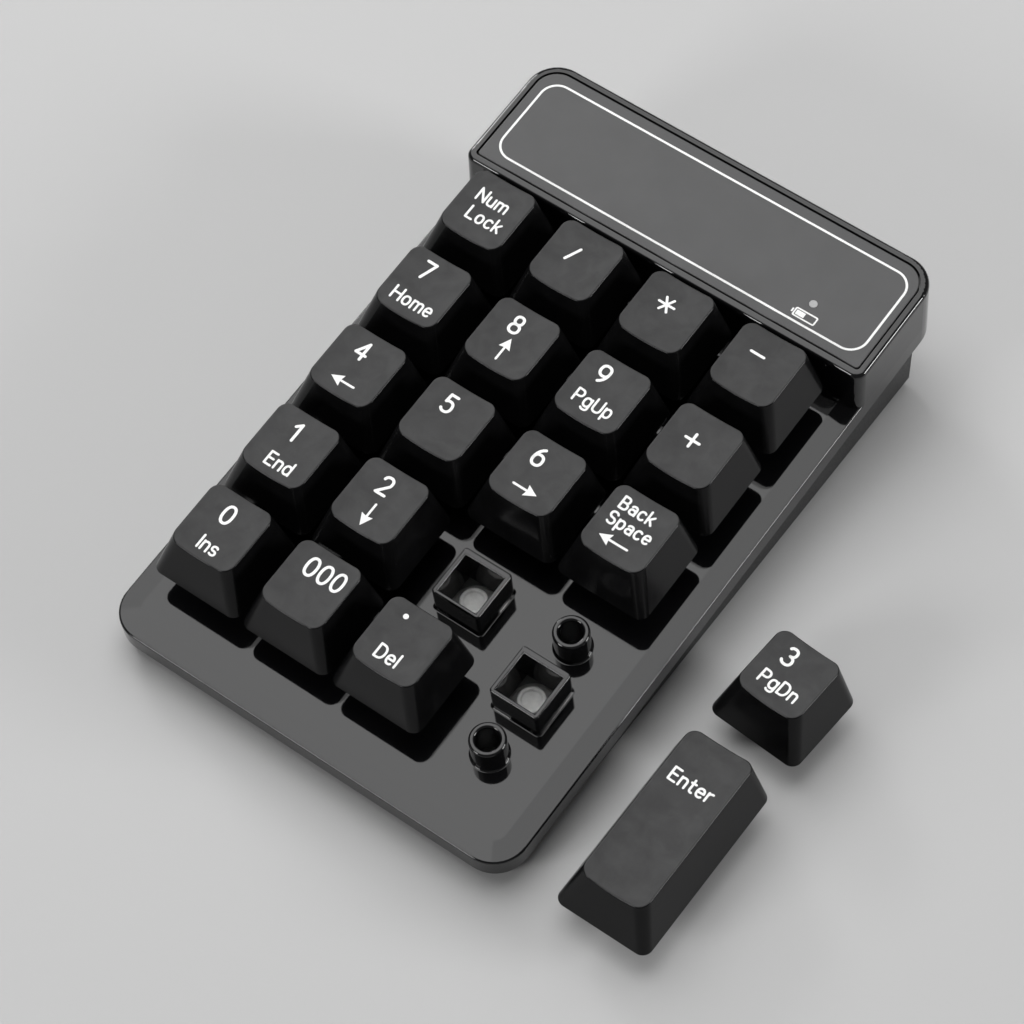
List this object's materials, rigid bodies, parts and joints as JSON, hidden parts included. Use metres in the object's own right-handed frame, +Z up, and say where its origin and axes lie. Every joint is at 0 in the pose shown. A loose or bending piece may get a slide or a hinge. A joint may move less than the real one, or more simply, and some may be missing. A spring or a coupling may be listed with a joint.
{
  "type": "numeric keypad",
  "caption": "Wireless desk numeric keypad with a raised rear housing, dished keys on rubber domes, and a single and a double-height key cap taken off and laid beside it.",
  "frame": {"origin": "middle of the whole set's footprint on the desk, counting the two key caps lying beside the keypad", "axes": "+X along the key rows to the right, +Y towards the raised rear housing, +Z up from the desk"},
  "size_m": [0.1134, 0.132, 0.0305],
  "materials": {
    "keycap_plastic": "fine satin texture on top, semi-gloss sides",
    "dome_rubber": "translucent grey silicone",
    "glossy_black_plastic": "polished piano black",
    "satin_panel_plastic": "fine satin texture",
    "light_pipe_plastic": "frosted clear",
    "matte_black_plastic": "fine spark texture",
    "film_plastic": "clear polyester film",
    "sheet_steel": "zinc plated",
    "board_green": "solder mask",
    "component_black": "moulded",
    "led_white": "moulded lens",
    "cell_wrap": "plain printed sleeve",
    "spring_steel": "nickel plated",
    "switch_plastic": "satin",
    "receiver_plastic": "satin with a plated shell",
    "screw_steel": "black zinc",
    "foot_rubber": "plain"
  },
  "bodies": {
    "case": {"dome_num_lock": "dome_rubber", "dome_divide": "dome_rubber", "dome_multiply": "dome_rubber", "dome_minus": "dome_rubber", "dome_seven": "dome_rubber", "dome_eight": "dome_rubber", "dome_nine": "dome_rubber", "dome_plus": "dome_rubber", "dome_four": "dome_rubber", "dome_five": "dome_rubber", "dome_six": "dome_rubber", "dome_backspace": "dome_rubber", "dome_one": "dome_rubber", "dome_two": "dome_rubber", "dome_zero": "dome_rubber", "dome_triple_zero": "dome_rubber", "dome_decimal": "dome_rubber", "dome_three": "dome_rubber", "dome_enter": "dome_rubber", "top_case": "glossy_black_plastic", "bar_panel": "satin_panel_plastic", "status_light_pipe": "light_pipe_plastic", "bottom_case": "matte_black_plastic", "membrane_upper": "film_plastic", "membrane_spacer": "film_plastic", "membrane_lower": "film_plastic", "backing_plate": "sheet_steel", "controller_board": "board_green", "board_components": "component_black", "status_led": "led_white", "battery_cell": "cell_wrap", "battery_contact": "spring_steel", "battery_spring": "spring_steel", "power_switch_body": "component_black", "screws": "screw_steel", "rubber_feet": "foot_rubber", "tail_clamp": "matte_black_plastic"},
    "key_num_lock": {"key_num_lock": "keycap_plastic"},
    "key_divide": {"key_divide": "keycap_plastic"},
    "key_multiply": {"key_multiply": "keycap_plastic"},
    "key_minus": {"key_minus": "keycap_plastic"},
    "key_seven": {"key_seven": "keycap_plastic"},
    "key_eight": {"key_eight": "keycap_plastic"},
    "key_nine": {"key_nine": "keycap_plastic"},
    "key_plus": {"key_plus": "keycap_plastic"},
    "key_four": {"key_four": "keycap_plastic"},
    "key_five": {"key_five": "keycap_plastic"},
    "key_six": {"key_six": "keycap_plastic"},
    "key_backspace": {"key_backspace": "keycap_plastic"},
    "key_one": {"key_one": "keycap_plastic"},
    "key_two": {"key_two": "keycap_plastic"},
    "key_zero": {"key_zero": "keycap_plastic"},
    "key_triple_zero": {"key_triple_zero": "keycap_plastic"},
    "key_decimal": {"key_decimal": "keycap_plastic"},
    "key_three": {"key_three": "keycap_plastic"},
    "key_enter": {"key_enter": "keycap_plastic"},
    "battery_door": {"battery_door": "matte_black_plastic"},
    "usb_receiver": {"usb_receiver": "receiver_plastic"},
    "power_switch_knob": {"power_switch_knob": "switch_plastic"}
  },
  "joints": [
    {"name": "press_num_lock", "type": "slide", "parent": "case", "child": "key_num_lock", "axis": [0, 0.0785, -0.9969], "range_m": [0, 0.0032], "stiffness_N_per_m": 120, "springref_m": -0.002, "deforming": ["dome_num_lock"]},
    {"name": "press_divide", "type": "slide", "parent": "case", "child": "key_divide", "axis": [0, 0.0785, -0.9969], "range_m": [0, 0.0032], "stiffness_N_per_m": 120, "springref_m": -0.002, "deforming": ["dome_divide"]},
    {"name": "press_multiply", "type": "slide", "parent": "case", "child": "key_multiply", "axis": [0, 0.0785, -0.9969], "range_m": [0, 0.0032], "stiffness_N_per_m": 120, "springref_m": -0.002, "deforming": ["dome_multiply"]},
    {"name": "press_minus", "type": "slide", "parent": "case", "child": "key_minus", "axis": [0, 0.0785, -0.9969], "range_m": [0, 0.0032], "stiffness_N_per_m": 120, "springref_m": -0.002, "deforming": ["dome_minus"]},
    {"name": "press_seven", "type": "slide", "parent": "case", "child": "key_seven", "axis": [0, 0.0785, -0.9969], "range_m": [0, 0.0032], "stiffness_N_per_m": 120, "springref_m": -0.002, "deforming": ["dome_seven"]},
    {"name": "press_eight", "type": "slide", "parent": "case", "child": "key_eight", "axis": [0, 0.0785, -0.9969], "range_m": [0, 0.0032], "stiffness_N_per_m": 120, "springref_m": -0.002, "deforming": ["dome_eight"]},
    {"name": "press_nine", "type": "slide", "parent": "case", "child": "key_nine", "axis": [0, 0.0785, -0.9969], "range_m": [0, 0.0032], "stiffness_N_per_m": 120, "springref_m": -0.002, "deforming": ["dome_nine"]},
    {"name": "press_plus", "type": "slide", "parent": "case", "child": "key_plus", "axis": [0, 0.0785, -0.9969], "range_m": [0, 0.0032], "stiffness_N_per_m": 120, "springref_m": -0.002, "deforming": ["dome_plus"]},
    {"name": "press_four", "type": "slide", "parent": "case", "child": "key_four", "axis": [0, 0.0785, -0.9969], "range_m": [0, 0.0032], "stiffness_N_per_m": 120, "springref_m": -0.002, "deforming": ["dome_four"]},
    {"name": "press_five", "type": "slide", "parent": "case", "child": "key_five", "axis": [0, 0.0785, -0.9969], "range_m": [0, 0.0032], "stiffness_N_per_m": 120, "springref_m": -0.002, "deforming": ["dome_five"]},
    {"name": "press_six", "type": "slide", "parent": "case", "child": "key_six", "axis": [0, 0.0785, -0.9969], "range_m": [0, 0.0032], "stiffness_N_per_m": 120, "springref_m": -0.002, "deforming": ["dome_six"]},
    {"name": "press_backspace", "type": "slide", "parent": "case", "child": "key_backspace", "axis": [0, 0.0785, -0.9969], "range_m": [0, 0.0032], "stiffness_N_per_m": 120, "springref_m": -0.002, "deforming": ["dome_backspace"]},
    {"name": "press_one", "type": "slide", "parent": "case", "child": "key_one", "axis": [0, 0.0785, -0.9969], "range_m": [0, 0.0032], "stiffness_N_per_m": 120, "springref_m": -0.002, "deforming": ["dome_one"]},
    {"name": "press_two", "type": "slide", "parent": "case", "child": "key_two", "axis": [0, 0.0785, -0.9969], "range_m": [0, 0.0032], "stiffness_N_per_m": 120, "springref_m": -0.002, "deforming": ["dome_two"]},
    {"name": "press_zero", "type": "slide", "parent": "case", "child": "key_zero", "axis": [0, 0.0785, -0.9969], "range_m": [0, 0.0032], "stiffness_N_per_m": 120, "springref_m": -0.002, "deforming": ["dome_zero"]},
    {"name": "press_triple_zero", "type": "slide", "parent": "case", "child": "key_triple_zero", "axis": [0, 0.0785, -0.9969], "range_m": [0, 0.0032], "stiffness_N_per_m": 120, "springref_m": -0.002, "deforming": ["dome_triple_zero"]},
    {"name": "press_decimal", "type": "slide", "parent": "case", "child": "key_decimal", "axis": [0, 0.0785, -0.9969], "range_m": [0, 0.0032], "stiffness_N_per_m": 120, "springref_m": -0.002, "deforming": ["dome_decimal"]},
    {"name": "lift_three", "type": "slide", "parent": "case", "child": "key_three", "axis": [0, 0, 1], "range_m": [0, 0.03]},
    {"name": "lift_enter", "type": "slide", "parent": "case", "child": "key_enter", "axis": [0, 0, 1], "range_m": [0, 0.03]},
    {"name": "door_slide", "type": "slide", "parent": "case", "child": "battery_door", "axis": [0, 1, 0], "range_m": [0, 0.018]},
    {"name": "receiver_slide", "type": "slide", "parent": "case", "child": "usb_receiver", "axis": [0, 1, 0], "range_m": [0, 0.02]},
    {"name": "switch_slide", "type": "slide", "parent": "case", "child": "power_switch_knob", "axis": [1, 0, 0], "range_m": [0, 0.0024]}
  ]
}
